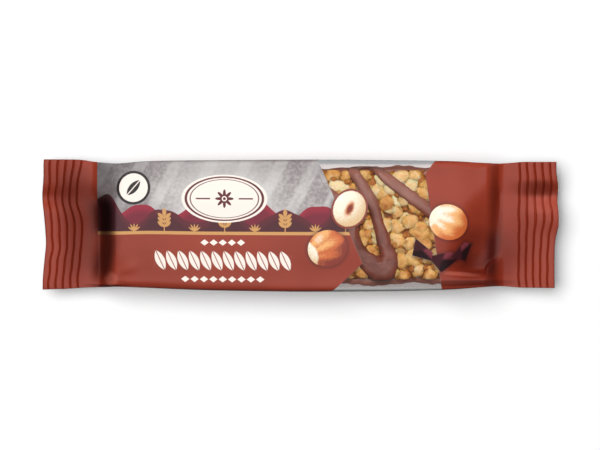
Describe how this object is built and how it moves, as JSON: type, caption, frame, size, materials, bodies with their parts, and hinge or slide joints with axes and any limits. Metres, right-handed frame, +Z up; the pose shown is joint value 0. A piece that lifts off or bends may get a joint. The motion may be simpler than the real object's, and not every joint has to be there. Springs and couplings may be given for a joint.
{
  "type": "wrapped granola bar",
  "caption": "Granola bar sealed in a flow-wrapped film pack with pleated end seals, a fin seal along the back and a clear window over the bar, lying on its back.",
  "frame": {"origin": "the middle of the pack's flat underside", "axes": "+X along the pack, +Y across it, +Z up from the surface that it lies on, towards the side with the window"},
  "size_m": [0.1602, 0.0408, 0.0154],
  "materials": {
    "printed_film": "satin printed packaging film, terracotta with grey, dark red and tan fields",
    "granola": "baked oats, crisps and nut pieces in syrup, slightly glossy",
    "chocolate": "satin milk chocolate"
  },
  "bodies": {
    "root": {"wrapped_bar": "printed_film"}
  },
  "joints": []
}
